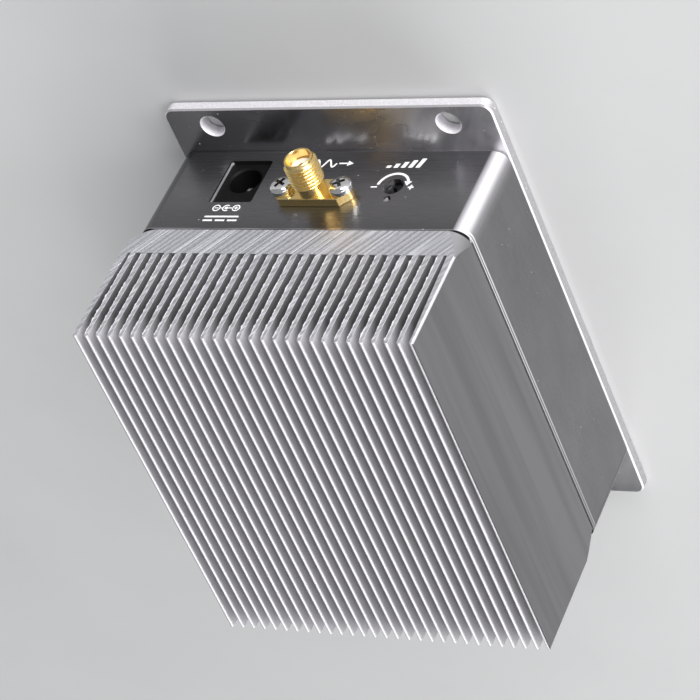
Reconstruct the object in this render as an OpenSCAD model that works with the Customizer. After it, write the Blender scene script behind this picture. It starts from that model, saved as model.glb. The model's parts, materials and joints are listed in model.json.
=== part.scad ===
// RF amplifier: a finned heatsink, a machined housing and a mounting plate, with two coaxial
// sockets, a power inlet, a recessed gain adjuster and the circuit board inside.
// Millimetres. The origin is the centre of the plate's outer face, +Z runs from the plate to
// the fin tips, and the panel with the controls faces -Y.

/* [Heatsink] */
// Width of the extrusion
heatsink_w = 69; // [64:0.5:90]
// Length of the extrusion
heatsink_l = 80; // [70:0.5:120]
// Height from the seat to the fin tips
heatsink_h = 27.8; // [18:0.2:45]
// Thickness of the base under the fins
heatsink_base = 6.2; // [5.6:0.1:9]
// Radius of the shoulder on the inlet's side
inlet_shoulder_r = 5.5; // [1:0.1:5.6]
// Radius of the shoulder on the adjuster's side
trim_shoulder_r = 0.5; // [0.3:0.1:2]
// Radius of the corners on the adjuster's side, ground down at the seat with the housing's
heatsink_corner_r = 4.6; // [2:0.1:4.8]
// Lean of those corners in degrees, by which the grinding runs out towards the fin tips
heatsink_corner_lean = 14; // [6:0.5:20]
// Radius of the upright edges beyond the grinding
heatsink_edge_r = 0.4; // [0.2:0.1:0.5]
// Number of fins
fin_count = 29; // [15:1:31]
// Thickness of an inner fin at its root
fin_root_t = 1; // [0.9:0.05:1.5]
// Thickness of every fin at its round tip
fin_tip_t = 0.7; // [0.5:0.05:0.9]
// Thickness of the two outer fins at the root
edge_fin_root_t = 1.6; // [1:0.05:1.7]
// How far the extrusion stands past the panel, towards the front
heatsink_shift = 0.4; // [0:0.1:1]
// Thickness of the pad between heatsink and housing
pad_t = 0.3; // [0.2:0.1:1]

/* [Housing] */
// Step from the heatsink's side to the housing's side
side_step = 0.3; // [0.1:0.1:1]
// Height of the housing
housing_h = 21.3; // [20.5:0.1:30]
// Radius of the upright corners
housing_corner_r = 3; // [1:0.1:4]
// Broken edge at both ends of the walls
housing_edge = 0.35; // [0.1:0.05:0.5]
// Thickness of the walls
wall_t = 3; // [2.5:0.1:3.6]
// Thickness of the floor next to the heatsink
floor_t = 4.5; // [4:0.1:6]
// Side of the square corner posts, from the inside of the wall
post_size = 6.5; // [6:0.1:8]
// Radius that the cutter leaves in the cavity's corners
cavity_r = 1.5; // [0.5:0.1:3]

/* [Mounting plate] */
// Thickness of the plate
plate_t = 2.4; // [2:0.1:4]
// Length of each ear past the housing
ear_l = 10.5; // [9:0.1:20]
// Corner radius of the plate
plate_corner_r = 2.2; // [1:0.1:4]
// Broken edge around the plate
plate_edge = 0.3; // [0.1:0.05:0.5]
// Diameter of a mounting hole
mount_hole_d = 4.5; // [3.2:0.1:5.5]
// Rounded rim of a mounting hole
mount_rim = 0.3; // [0.1:0.05:0.5]
// Mounting hole centre from the end of the ear
mount_end_inset = 4.1; // [3.6:0.1:5]
// Mounting hole centre from the side of the plate
mount_side_inset = 9.5; // [6:0.1:14]

/* [Coaxial sockets] */
// Diameter over the thread
coax_thread_d = 6.35; // [6:0.05:6.6]
// Length of the thread
coax_thread_l = 4.9; // [3:0.1:8]
// Diameter of the plain lead at the tip
coax_lead_d = 5.4; // [5.2:0.05:5.6]
// Length of the plain lead
coax_lead_l = 0.75; // [0.4:0.05:1.5]
// Diameter of the neck between flange and thread
coax_neck_d = 5.4; // [5.2:0.05:6]
// Distance over the flats of the neck
coax_neck_flats = 4.9; // [4.7:0.05:5.2]
// Length of the neck
coax_neck_l = 2; // [1.5:0.1:3]
// Thickness of the flange
coax_flange_t = 1.85; // [1.4:0.05:2.5]
// Length of the flange from point to point
coax_flange_l = 16.4; // [16:0.1:18]
// Length of the flange's straight sides
coax_flange_side = 12.2; // [10:0.1:13]
// Width of the flange
coax_flange_w = 5.5; // [5.4:0.1:8]
// Radius of the flange's points
coax_point_r = 1.5; // [1:0.1:2.2]
// Distance between the flange screws
coax_screw_pitch = 12.22; // [12:0.02:13]
// Diameter of the socket at the tip
coax_socket_d = 4.6; // [4.5:0.05:4.8]
// Depth of the socket
coax_socket_depth = 1.9; // [1:0.1:3]
// Diameter of the insulator
coax_insulator_d = 4.1; // [3.6:0.05:4.3]
// Diameter of the centre contact
coax_contact_d = 1.27; // [1:0.01:1.4]
// Length of the contact past the inside of the wall
coax_tail_l = 4; // [3:0.1:6]
// Height of the axis above the board
coax_rise = 1.4; // [1.2:0.1:2.5]

/* [Power inlet] */
// Place of the inlet across the panel
jack_x = 17.5; // [15:0.1:18]
// Width of the inlet
jack_w = 8.8; // [8.4:0.1:10]
// Height of the inlet above the board
jack_h = 11; // [10.6:0.1:11.6]
// Length of the inlet
jack_l = 14.2; // [13:0.1:16]
// Length of the square nose that fills the window
jack_nose_l = 3.6; // [3:0.1:5]
// Depth of the inlet's face under the panel
jack_recess = 0.8; // [0.3:0.1:1.5]
// Bore for the plug
jack_bore_d = 6.3; // [6:0.05:6.6]
// Depth of the bore
jack_bore_l = 9.6; // [8:0.1:11]
// Height of the bore's axis above the board
jack_axis_h = 6.7; // [6.4:0.1:7]
// Diameter of the centre pin
jack_pin_d = 2; // [1.6:0.1:2.5]
// Radius of the square nose's corners
jack_corner_r = 0.4; // [0.2:0.05:1]
// Bevel at the mouth of the bore
jack_mouth = 0.4; // [0.1:0.05:0.5]
// Rim around the window
jack_window_gap = 0.12; // [0.05:0.01:0.3]

/* [Gain adjuster] */
// Place of the adjuster across the panel
trim_x = -15; // [-19:0.1:-12]
// Height of the adjuster's axis above the board
trim_rise = 4; // [3.8:0.1:4.6]
// Diameter of the access hole in the panel
trim_hole_d = 4; // [3.8:0.1:4.5]
// Diameter of the rotor's nose
trim_nose_d = 3.5; // [3:0.1:3.6]
// Depth of the rotor's face under the panel
trim_face_depth = 0.8; // [0.4:0.1:1.5]
// Angle of the screwdriver slot from upright
trim_slot_angle = 35; // [-130:5:130]
// Width of the screwdriver slot
trim_slot_w = 0.7; // [0.5:0.05:1]
// Depth of the screwdriver slot
trim_slot_depth = 0.9; // [0.5:0.1:1.2]
// Diameter of the locating peg's hole in the panel
trim_peg_hole_d = 1.5; // [1.2:0.1:1.6]
// Height of the locating peg above the board
trim_peg_rise = 0.75; // [0.75:0.05:0.9]

/* [Circuit board] */
// Thickness of the board
board_t = 1.6; // [1:0.1:2]
// Height of the spacers under the board
spacer_h = 1.5; // [1.2:0.1:2.5]
// Free edge between board and walls
board_clear = 0.8; // [0.5:0.1:1.5]

/* [Hidden] */
$fn = 48;
eps = 0.01;
fit = 0.05;
over = 1;

housing_w = heatsink_w - 2 * side_step;
housing_l = heatsink_l;
plate_w = housing_w;
plate_l = housing_l + 2 * ear_l;
seam_z = plate_t + housing_h;
floor_z = seam_z - floor_t;
board_z = floor_z - spacer_h - board_t;
heatsink_z = seam_z + pad_t;
fin_h = heatsink_h - heatsink_base;
fin_pitch = (heatsink_w - fin_tip_t) / (fin_count - 1);
inner_w = housing_w - 2 * wall_t;
inner_l = housing_l - 2 * wall_t;
panel_y = -housing_l / 2;
pad_inset = 1.3;
pad_l = heatsink_l - 2 * heatsink_shift - 2 * pad_inset;

m25_d = 2.5;
m25_head_d = 4.6;
m25_head_h = 1.7;
m3_d = 3;
recess_w = 0.6;
screw_slack = 0.2;
tap_run = 0.5;
floor_bite = 3;

post_screw_shift = 1;
plate_screw_x = inner_w / 2 - post_size / 2 + post_screw_shift;
plate_screw_y = inner_l / 2 - post_size / 2 + post_screw_shift;
plate_screw_bite = 7;
plate_screw_l = plate_t + plate_screw_bite;
plate_screw_head_d = 4.7;
plate_screw_sink = 0.1;
mount_x = plate_w / 2 - mount_side_inset;
mount_y = plate_l / 2 - mount_end_inset;

heatsink_screw_inset = [18.5, 15];
heatsink_screw_x = heatsink_w / 2 - heatsink_screw_inset[0];
heatsink_screw_y = heatsink_l / 2 - heatsink_screw_inset[1];
heatsink_screw_bite = 4.6;
heatsink_screw_l = floor_t + pad_t + heatsink_screw_bite;
heatsink_screw_head_d = 5.6;

coax_z = board_z - coax_rise;
coax_thread_z = coax_flange_t + coax_neck_l;
coax_tip_z = coax_thread_z + coax_thread_l + coax_lead_l;
coax_bore_z = coax_tip_z - coax_socket_depth;
coax_screw_proud = 0.6;
coax_screw_l = coax_flange_t + wall_t + coax_screw_proud;
insulator_proud = 0.2;
contact_bore_d = 0.9;
contact_bore_l = 2.6;
contact_slit_w = 0.24;
contact_slit_l = 2;
solder_w = 1.8;
solder_inset = 0.6;

trim_z = board_z - trim_rise;
trim_body_w = 6.8;
trim_body_l = 5;
trim_body_h = 7.7;
trim_wall_gap = 0.2;
trim_front_y = panel_y + wall_t + trim_wall_gap;
trim_face_y = panel_y + trim_face_depth - trim_front_y;
trim_lip_t = 0.6;
trim_flange_rim = 0.5;
trim_flange_d = trim_nose_d + 2 * trim_flange_rim;
trim_flange_t = 1.2;
trim_peg_l = 1.6;
trim_pin_d = 0.7;
trim_pins = [[-2.5, 2.5], [0, 4], [2.5, 2.5]];

board_w = inner_w - 2 * board_clear;
board_l = inner_l - 2 * board_clear;
board_notch = post_size;
board_screw_inset = [3.5, 14.2];
board_screw_x = board_w / 2 - board_screw_inset[0];
board_screw_y = board_l / 2 - board_screw_inset[1];
board_screw_l = board_t + spacer_h + floor_bite;
spacer_d = 5;
solder_proud = 0.8;

jack_y = panel_y + jack_recess;
jack_barrel_drop = 0.2;
jack_barrel_d = 2 * (jack_h - jack_axis_h - jack_barrel_drop);
jack_leaf_y = 2.8;
jack_leaf_gap = 0.4;
jack_slot_y = jack_leaf_y - jack_leaf_gap;
jack_slot_h = 1.6;
jack_tag_y = 6;
tag_w = 2;
tag_t = 0.5;
tag_l = board_t + solder_proud;
tag_top = 1.6;
tag_slack = 0.2;
leaf_w = 2.6;
leaf_t = 0.3;
leaf_h = jack_axis_h - jack_bore_d / 2 - leaf_t;
pin_tip_y = 2.2;
pin_rivet_rim = 0.7;
pin_rivet_d = jack_pin_d + 2 * pin_rivet_rim;

// Signal path along the middle of the board, from the input to the output
preamp_inset = 12.2;
transformer_inset = 9.2;
driver_share = 0.31;
transistor_share = 0.71;
preamp_y = -board_l / 2 + preamp_inset;
transformer_y = board_l / 2 - transformer_inset;
signal_l = transformer_y - preamp_y;
driver_y = preamp_y + driver_share * signal_l;
transistor_y = preamp_y + transistor_share * signal_l;
preamp_size = [4.5, 2.5, 1.5];
package_size = [6.6, 6, 2.3];
leg_size = [0.9, 2.4, 0.4];
leg_count = 3;
preamp_leg_pitch = 1.5;
package_leg_pitch = 2.3;
transistor_flange = [20.3, 5.8, 1.5];
transistor_slack = 0.4;
transistor_slot_l = 15.2;
transistor_frame = [9.8, 5.2];
transistor_cap = [9.4, 4.8, 1.4];
lead_t = 0.15;
lead_w = 5.6;
lead_in = 1;
lead_out = 6.8;
lead_h = spacer_h + board_t;
transformer_core = [12, 8, 6.5];
transformer_pitch = 5.6;
transformer_tube_d = 3;
transformer_tube_t = 0.4;
transformer_tube_proud = 1.2;
transformer_end = [11, 0.8, 5.9];
chip_size = [2, 1.25, 0.6];
chip_row_x = 8;
chip_count = 8;
chip_lead_in = 5;
chip_pitch = (transistor_y - preamp_y) / (chip_count + 1);

// Supply along the inlet's side of the board, the bias regulator on the other side
supply_inset = 11.4;
diode_shift = [0.5, 7];
supply_x = board_w / 2 - supply_inset;
diode_x = jack_x + diode_shift[0];
diode_y = jack_y + jack_l + diode_shift[1];
diode_size = [6.8, 5.4, 2.3];
diode_tab = [0.8, 3, 1.2];
can_d = 8;
can_h = 9;
can_base_h = 0.9;
can_base_rim = 0.15;
can_base_w = can_d + 2 * can_base_rim;
can_pitch = 11;
can_y = [for (i = [1, 2]) diode_y + i * can_pitch];
choke_size = [7, 7, 4];
choke_pitch = 13;
choke_y = can_y[1] + choke_pitch;
regulator_shift = 6;
regulator_x = -supply_x;
regulator_y = preamp_y + regulator_shift;

// Rounded rectangle, flat
module rounded_rect(w, l, r) {
    square([w - 2 * r, l], center = true);
    square([w, l - 2 * r], center = true);
    for (x = [-1, 1], y = [-1, 1])
        translate([x * (w / 2 - r), y * (l / 2 - r)])
            circle(r);
}

// Section of a bar with its four long edges broken
module broken_bar(w, h, edge)
    polygon([[-w / 2 + edge, 0], [w / 2 - edge, 0], [w / 2, edge], [w / 2, h - edge],
        [w / 2 - edge, h], [-w / 2 + edge, h], [-w / 2, h - edge], [-w / 2, edge]]);

// Block with round upright corners, its upper and lower edges broken
module slab(w, l, h, r, edge) {
    rotate([90, 0, 0])
        linear_extrude(l - 2 * r, center = true)
            broken_bar(w, h, edge);
    rotate([90, 0, 90])
        linear_extrude(w - 2 * r, center = true)
            broken_bar(l, h, edge);
    for (x = [-1, 1], y = [-1, 1])
        translate([x * (w / 2 - r), y * (l / 2 - r), 0])
            rotate_extrude()
                polygon([[0, 0], [r - edge, 0], [r, edge], [r, h - edge], [r - edge, h], [0, h]]);
}

// Straight hole along Z from z0 to z1
module hole(d, z0, z1)
    translate([0, 0, z0])
        cylinder(h = z1 - z0, d = d);

// Children at the four corners of a rectangle around the origin
module at_corners(x, y)
    for (i = [-1, 1], j = [-1, 1])
        translate([i * x, j * y, 0])
            children();

// Children on the panel: Z out of the panel, Y towards the fins
module on_panel(x, z)
    translate([x, panel_y, z])
        rotate([90, 0, 0])
            children();

// The same on the far end
module on_far_end(x, z)
    rotate([0, 0, 180])
        on_panel(x, z)
            children();

// Children on the component face of the board, Z is the height above it
module on_board(x, y)
    translate([x, y, board_z])
        mirror([0, 0, 1])
            children();

// Children on the housing's floor, Z is the height above it
module on_floor(x, y)
    translate([x, y, floor_z])
        mirror([0, 0, 1])
            children();

// Box that stands on Z = 0, centred in X and Y
module box(size)
    translate([-size[0] / 2, -size[1] / 2, 0])
        cube(size);

// Cross recess cut down from Z = 0
module cross_recess(d, depth)
    for (turn = [0, 90])
        rotate([0, 0, turn])
            translate([-d / 2, -recess_w / 2, -depth])
                cube([d, recess_w, depth + over]);

// Pan head screw: the head stands on Z = 0, the shank hangs below
module pan_screw(d, head_d, head_h, l) {
    dome_r = (head_d * head_d / 4 + head_h * head_h) / (2 * head_h) * 1.25;
    difference() {
        intersection() {
            cylinder(h = head_h, d = head_d);
            translate([0, 0, head_h - dome_r])
                sphere(dome_r);
        }
        translate([0, 0, head_h])
            cross_recess(head_d * 0.6, head_h * 0.55);
    }
    translate([0, 0, -l])
        cylinder(h = l + eps, d = d - 2 * fit);
}

// Countersunk screw: the flat of the head is on Z = 0, the shank runs up
module flat_screw(d, head_d, l) {
    head_h = (head_d - d) / 2;
    difference() {
        union() {
            cylinder(h = head_h, d1 = head_d - 2 * fit, d2 = d - 2 * fit);
            cylinder(h = l, d = d - 2 * fit);
        }
        mirror([0, 0, 1])
            cross_recess(head_d * 0.55, head_h * 0.9);
    }
}

// Seat for a countersunk screw, cut up from Z = 0
module flat_seat(d, head_d, l) {
    hole(d + 2 * fit, -over, l);
    translate([0, 0, -eps])
        cylinder(h = (head_d - d) / 2 + eps, d1 = head_d, d2 = d);
}

module mounting_plate()
    color("silver")
        difference() {
            slab(plate_w, plate_l, plate_t, plate_corner_r, plate_edge);
            at_corners(mount_x, mount_y) {
                hole(mount_hole_d, -over, plate_t + over);
                translate([0, 0, plate_t - mount_rim])
                    cylinder(h = mount_rim + eps, d1 = mount_hole_d, d2 = mount_hole_d + 2 * mount_rim);
            }
            at_corners(plate_screw_x, plate_screw_y)
                translate([0, 0, plate_screw_sink]) {
                    flat_seat(m25_d, plate_screw_head_d, plate_t + over);
                    hole(plate_screw_head_d, -over, eps);
                }
        }

module plate_screws()
    color("gainsboro")
        at_corners(plate_screw_x, plate_screw_y)
            translate([0, 0, plate_screw_sink])
                flat_screw(m25_d, plate_screw_head_d, plate_screw_l);

// Flat outline of the cavity, with the corner posts left standing
module cavity_outline()
    difference() {
        rounded_rect(inner_w, inner_l, cavity_r);
        at_corners(inner_w / 2 - post_size / 2, inner_l / 2 - post_size / 2)
            square(post_size + 2 * eps, center = true);
    }

// Holes that one coaxial socket needs in its wall
module coax_wall_holes() {
    hole(coax_insulator_d + 2 * fit, -wall_t - over, over);
    for (side = [-1, 1])
        translate([side * coax_screw_pitch / 2, 0, 0])
            hole(m25_d, -wall_t - over, over);
}

module housing()
    color("dimgray")
        difference() {
            translate([0, 0, plate_t])
                slab(housing_w, housing_l, housing_h, housing_corner_r, housing_edge);
            translate([0, 0, plate_t - over])
                linear_extrude(floor_z - plate_t + over)
                    cavity_outline();
            at_corners(plate_screw_x, plate_screw_y)
                hole(m25_d, plate_t - over, plate_screw_l + plate_screw_sink + tap_run);
            at_corners(heatsink_screw_x, heatsink_screw_y)
                translate([0, 0, floor_z])
                    flat_seat(m3_d, heatsink_screw_head_d, floor_t + over);
            at_corners(board_screw_x, board_screw_y)
                hole(m25_d, floor_z - over, floor_z + floor_bite + tap_run);
            for (side = [-1, 1])
                translate([side * transistor_slot_l / 2, transistor_y, 0])
                    hole(m25_d, floor_z - over, floor_z + floor_bite + tap_run);
            on_panel(0, coax_z)
                coax_wall_holes();
            on_far_end(0, coax_z)
                coax_wall_holes();
            on_panel(jack_x, board_z - jack_h / 2)
                translate([0, 0, -wall_t - over])
                    linear_extrude(wall_t + 2 * over)
                        rounded_rect(jack_w + 2 * jack_window_gap, jack_h + 2 * jack_window_gap,
                            jack_corner_r + jack_window_gap);
            on_panel(trim_x, trim_z)
                hole(trim_hole_d, -wall_t - over, over);
            on_panel(trim_x, board_z - trim_peg_rise)
                hole(trim_peg_hole_d, -wall_t - over, over);
        }

module thermal_pad()
    color("gray")
        translate([0, 0, seam_z])
            difference() {
                translate([trim_shoulder_r + pad_inset - heatsink_w / 2, -pad_l / 2, 0])
                    cube([heatsink_w - trim_shoulder_r - inlet_shoulder_r - 2 * pad_inset, pad_l, pad_t]);
                at_corners(heatsink_screw_x, heatsink_screw_y)
                    hole(m3_d + pad_inset, -over, pad_t + over);
            }

// One inner fin on its root line
module fin() {
    polygon([[-fin_root_t / 2, -eps], [fin_root_t / 2, -eps],
        [fin_tip_t / 2, fin_h - fin_tip_t / 2], [-fin_tip_t / 2, fin_h - fin_tip_t / 2]]);
    translate([0, fin_h - fin_tip_t / 2])
        circle(fin_tip_t / 2);
}

// Outer fin: its outer face stays upright
module edge_fin() {
    polygon([[0, -eps], [edge_fin_root_t, -eps],
        [fin_tip_t, fin_h - fin_tip_t / 2], [0, fin_h - fin_tip_t / 2]]);
    translate([fin_tip_t / 2, fin_h - fin_tip_t / 2])
        circle(fin_tip_t / 2);
}

// Half of the extrusion's base, from the middle to a round shoulder
module heatsink_half_base(r) {
    square([heatsink_w / 2 - r, heatsink_base]);
    translate([0, r])
        square([heatsink_w / 2, heatsink_base - r]);
    intersection() {
        translate([heatsink_w / 2 - r, r])
            circle(r);
        square([heatsink_w / 2, r + eps]);
    }
}

module heatsink_section() {
    heatsink_half_base(inlet_shoulder_r);
    mirror([1, 0])
        heatsink_half_base(trim_shoulder_r);
    for (i = [1 : fin_count - 2])
        translate([-heatsink_w / 2 + fin_tip_t / 2 + i * fin_pitch, heatsink_base])
            fin();
    for (side = [0, 1])
        mirror([side, 0])
            translate([-heatsink_w / 2, heatsink_base])
                edge_fin();
}

// What falls away outside a round corner between -X and -Y, which leans out as it goes up
module corner_waste(r, lean, h)
    translate([r, r, 0])
        rotate(lean, [1, -1, 0])
            translate([0, 0, -over])
                linear_extrude(h + 2 * over)
                    difference() {
                        translate([-r - over, -r - over])
                            square(r + over);
                        circle(r);
                    }

module heatsink()
    color("lightgray")
        difference() {
            translate([0, -heatsink_shift, heatsink_z])
                rotate([90, 0, 0])
                    linear_extrude(heatsink_l, center = true)
                        heatsink_section();
            translate([0, -heatsink_shift, heatsink_z])
                for (end = [0, 1])
                    mirror([0, end, 0])
                        translate([-heatsink_w / 2, -heatsink_l / 2, 0]) {
                            corner_waste(heatsink_corner_r, heatsink_corner_lean, heatsink_h);
                            corner_waste(heatsink_edge_r, 0, heatsink_h);
                        }
            at_corners(heatsink_screw_x, heatsink_screw_y)
                hole(m3_d, heatsink_z - over, heatsink_z + heatsink_screw_bite + tap_run);
        }

module heatsink_screws()
    color("gainsboro")
        at_corners(heatsink_screw_x, heatsink_screw_y)
            translate([0, 0, floor_z])
                flat_screw(m3_d, heatsink_screw_head_d, heatsink_screw_l);

// Two-hole flange with slanted ends that run into round points, flat
module coax_flange_outline() {
    corner = [coax_flange_side / 2, coax_flange_w / 2];
    point = [coax_flange_l / 2 - coax_point_r, 0];
    reach = norm(corner - point);
    turn = atan2(corner[1], corner[0] - point[0]) - acos(coax_point_r / reach);
    touch = point + coax_point_r * [cos(turn), sin(turn)];
    for (side = [0, 1])
        mirror([side, 0]) {
            polygon([[-eps, -corner[1]], [corner[0], -corner[1]], [touch[0], -touch[1]],
                touch, corner, [-eps, corner[1]]]);
            translate(point)
                circle(coax_point_r);
        }
}

// Socket shell on Z = 0; its thread is left as a plain cylinder over the crests
module coax_body()
    difference() {
        union() {
            linear_extrude(coax_flange_t)
                coax_flange_outline();
            intersection() {
                hole(coax_neck_d, coax_flange_t - eps, coax_thread_z + eps);
                translate([-coax_neck_flats / 2, -coax_neck_d / 2, 0])
                    cube([coax_neck_flats, coax_neck_d, coax_thread_z + over]);
            }
            hole(coax_thread_d, coax_thread_z, coax_thread_z + coax_thread_l);
            hole(coax_lead_d, coax_thread_z, coax_tip_z);
        }
        hole(coax_insulator_d, -over, coax_bore_z + eps);
        hole(coax_socket_d, coax_bore_z, coax_tip_z + over);
        for (side = [-1, 1])
            translate([side * coax_screw_pitch / 2, 0, 0])
                hole(m25_d + screw_slack, -over, coax_flange_t + over);
    }

module coax_insulator()
    difference() {
        hole(coax_insulator_d - 2 * fit, -wall_t - insulator_proud, coax_bore_z);
        hole(coax_contact_d, -wall_t - over, coax_bore_z + over);
    }

module coax_contact()
    difference() {
        hole(coax_contact_d - 2 * fit, -wall_t - coax_tail_l, coax_bore_z);
        hole(contact_bore_d, coax_bore_z - contact_bore_l, coax_bore_z + over);
        for (turn = [0, 90])
            rotate([0, 0, turn])
                translate([-contact_slit_w / 2, -coax_contact_d, coax_bore_z - contact_slit_l])
                    cube([contact_slit_w, 2 * coax_contact_d, contact_slit_l + over]);
    }

module coax_screws()
    for (side = [-1, 1])
        translate([side * coax_screw_pitch / 2, 0, coax_flange_t])
            rotate([0, 0, 45 + 15 * side])
                pan_screw(m25_d, m25_head_d, m25_head_h, coax_screw_l);

module input_socket_body()
    color("goldenrod")
        on_panel(0, coax_z)
            coax_body();

module input_socket_insulator()
    color("white")
        on_panel(0, coax_z)
            coax_insulator();

module input_socket_contact()
    color("gold")
        on_panel(0, coax_z)
            coax_contact();

module input_socket_screws()
    color("gainsboro")
        on_panel(0, coax_z)
            coax_screws();

module output_socket_body()
    color("goldenrod")
        on_far_end(0, coax_z)
            coax_body();

module output_socket_insulator()
    color("white")
        on_far_end(0, coax_z)
            coax_insulator();

module output_socket_contact()
    color("gold")
        on_far_end(0, coax_z)
            coax_contact();

module output_socket_screws()
    color("gainsboro")
        on_far_end(0, coax_z)
            coax_screws();

// Cylinder along +Y from y0 to y1 at height h above the board
module along_y(d, y0, y1, h)
    translate([0, y0, h])
        rotate([-90, 0, 0])
            cylinder(h = y1 - y0, d = d);

module power_jack_body()
    color("#202020")
        on_board(jack_x, jack_y)
            difference() {
                union() {
                    translate([0, jack_nose_l, jack_h / 2])
                        rotate([90, 0, 0])
                            linear_extrude(jack_nose_l)
                                rounded_rect(jack_w, jack_h, jack_corner_r);
                    translate([-jack_w / 2, jack_nose_l - eps, 0])
                        cube([jack_w, jack_l - jack_nose_l + eps, jack_axis_h]);
                    along_y(jack_barrel_d, jack_nose_l - eps, jack_l, jack_axis_h);
                }
                along_y(jack_bore_d, -over, jack_bore_l, jack_axis_h);
                translate([0, -eps, jack_axis_h])
                    rotate([-90, 0, 0])
                        cylinder(h = jack_mouth + eps, d1 = jack_bore_d + 2 * jack_mouth, d2 = jack_bore_d);
                along_y(jack_pin_d, jack_bore_l - over, jack_l + over, jack_axis_h);
                translate([-leaf_w / 2 - fit, jack_slot_y, jack_slot_h])
                    cube([leaf_w + 2 * fit, jack_bore_l - jack_slot_y, jack_axis_h - jack_slot_h]);
                translate([-tag_w / 2 - fit, jack_tag_y - fit, -over])
                    cube([tag_w + 2 * fit, tag_t + 2 * fit, jack_slot_h + 2 * over]);
            }

// Centre pin with a round tip and a rivet at the back
module power_jack_pin()
    color("gainsboro")
        on_board(jack_x, jack_y) {
            along_y(jack_pin_d - 2 * fit, pin_tip_y + jack_pin_d / 2, jack_l + tag_t + eps, jack_axis_h);
            translate([0, pin_tip_y + jack_pin_d / 2, jack_axis_h])
                sphere(d = jack_pin_d - 2 * fit);
            along_y(pin_rivet_d, jack_l + tag_t, jack_l + 2 * tag_t, jack_axis_h);
        }

// Sleeve contact: a leaf under the bore
module power_jack_leaf()
    color("gainsboro")
        on_board(jack_x, jack_y)
            translate([-leaf_w / 2, jack_leaf_y, leaf_h])
                cube([leaf_w, jack_bore_l - jack_leaf_y, leaf_t]);

// Solder tags: one up to the leaf, one up to the pin's rivet
module power_jack_tags()
    color("silver")
        on_board(jack_x, jack_y) {
            translate([-tag_w / 2, jack_tag_y, -tag_l])
                cube([tag_w, tag_t, tag_l + leaf_h]);
            difference() {
                translate([-tag_w, jack_l, -tag_l])
                    cube([2 * tag_w, tag_t, tag_l + jack_axis_h + tag_top]);
                along_y(jack_pin_d, jack_l - over, jack_l + tag_t + over, jack_axis_h);
            }
        }

module gain_trimmer_body()
    color("#303030")
        on_board(trim_x, trim_front_y)
            difference() {
                union() {
                    translate([-trim_body_w / 2, 0, 0])
                        cube([trim_body_w, trim_body_l, trim_body_h]);
                    along_y(trim_peg_hole_d - 2 * fit, -trim_peg_l, eps, trim_peg_rise);
                }
                along_y(trim_nose_d + 2 * fit, -over, trim_lip_t + eps, trim_rise);
                along_y(trim_flange_d + 2 * fit, trim_lip_t,
                    trim_lip_t + trim_flange_t + 2 * fit, trim_rise);
            }

// Turning part of the adjuster, with the screwdriver slot
module gain_rotor()
    color("dimgray")
        on_board(trim_x, trim_front_y)
            difference() {
                union() {
                    along_y(trim_flange_d, trim_lip_t + fit,
                        trim_lip_t + fit + trim_flange_t, trim_rise);
                    along_y(trim_nose_d, trim_face_y, trim_lip_t + fit + eps, trim_rise);
                }
                translate([0, trim_face_y, trim_rise])
                    rotate([0, trim_slot_angle, 0])
                        translate([-trim_slot_w / 2, -over, -trim_nose_d])
                            cube([trim_slot_w, over + trim_slot_depth, 2 * trim_nose_d]);
            }

module gain_trimmer_pins()
    color("silver")
        on_board(trim_x, trim_front_y)
            for (pin = trim_pins)
                translate([pin[0], pin[1], 0])
                    hole(trim_pin_d, -board_t - solder_proud, 0);

// Square cut through the board, which lies on Z = 0
module board_cut(w, l)
    translate([0, 0, -over])
        box([w, l, board_t + 2 * over]);

module circuit_board()
    color("#1c5c30")
        translate([0, 0, board_z])
            difference() {
                box([board_w, board_l, board_t]);
                at_corners(board_w / 2, board_l / 2)
                    board_cut(2 * board_notch, 2 * board_notch);
                at_corners(board_screw_x, board_screw_y)
                    hole(m25_d + screw_slack, -over, board_t + over);
                translate([0, transistor_y, 0])
                    board_cut(transistor_flange[0] + 2 * transistor_slack,
                        transistor_flange[1] + 2 * transistor_slack);
                translate([jack_x, jack_y + jack_tag_y + tag_t / 2, 0])
                    board_cut(tag_w + 2 * tag_slack, tag_t + 2 * tag_slack);
                translate([jack_x, jack_y + jack_l + tag_t / 2, 0])
                    board_cut(2 * tag_w + 2 * tag_slack, tag_t + 2 * tag_slack);
                for (pin = trim_pins)
                    translate([trim_x + pin[0], trim_front_y + pin[1], 0])
                        hole(trim_pin_d + tag_slack, -over, board_t + over);
            }

module board_spacers()
    color("goldenrod")
        at_corners(board_screw_x, board_screw_y)
            difference() {
                hole(spacer_d, board_z + board_t, floor_z);
                hole(m25_d + screw_slack, board_z, floor_z + over);
            }

module board_screws()
    color("gainsboro")
        for (x = [-1, 1], y = [-1, 1])
            on_board(x * board_screw_x, y * board_screw_y)
                rotate([0, 0, 20 * x + 30 * y])
                    pan_screw(m25_d, m25_head_d, m25_head_h, board_screw_l);

// Solder under the tail of one socket contact, from the panel inwards
module contact_solder()
    difference() {
        translate([-solder_w / 2, -coax_rise, -wall_t - coax_tail_l])
            cube([solder_w, coax_rise - eps, coax_tail_l - board_clear - solder_inset]);
        hole(coax_contact_d - 2 * fit, -wall_t - coax_tail_l - over, over);
    }

module solder_joints()
    color("silver") {
        on_panel(0, coax_z)
            mirror([0, 1, 0])
                contact_solder();
        on_far_end(0, coax_z)
            mirror([0, 1, 0])
                contact_solder();
    }

module power_transistor_flange()
    color("#c08850")
        on_floor(0, transistor_y)
            difference() {
                box(transistor_flange);
                for (side = [-1, 1])
                    translate([side * transistor_slot_l / 2, 0, 0])
                        hole(m25_d + screw_slack, -over, transistor_flange[2] + over);
            }

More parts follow.
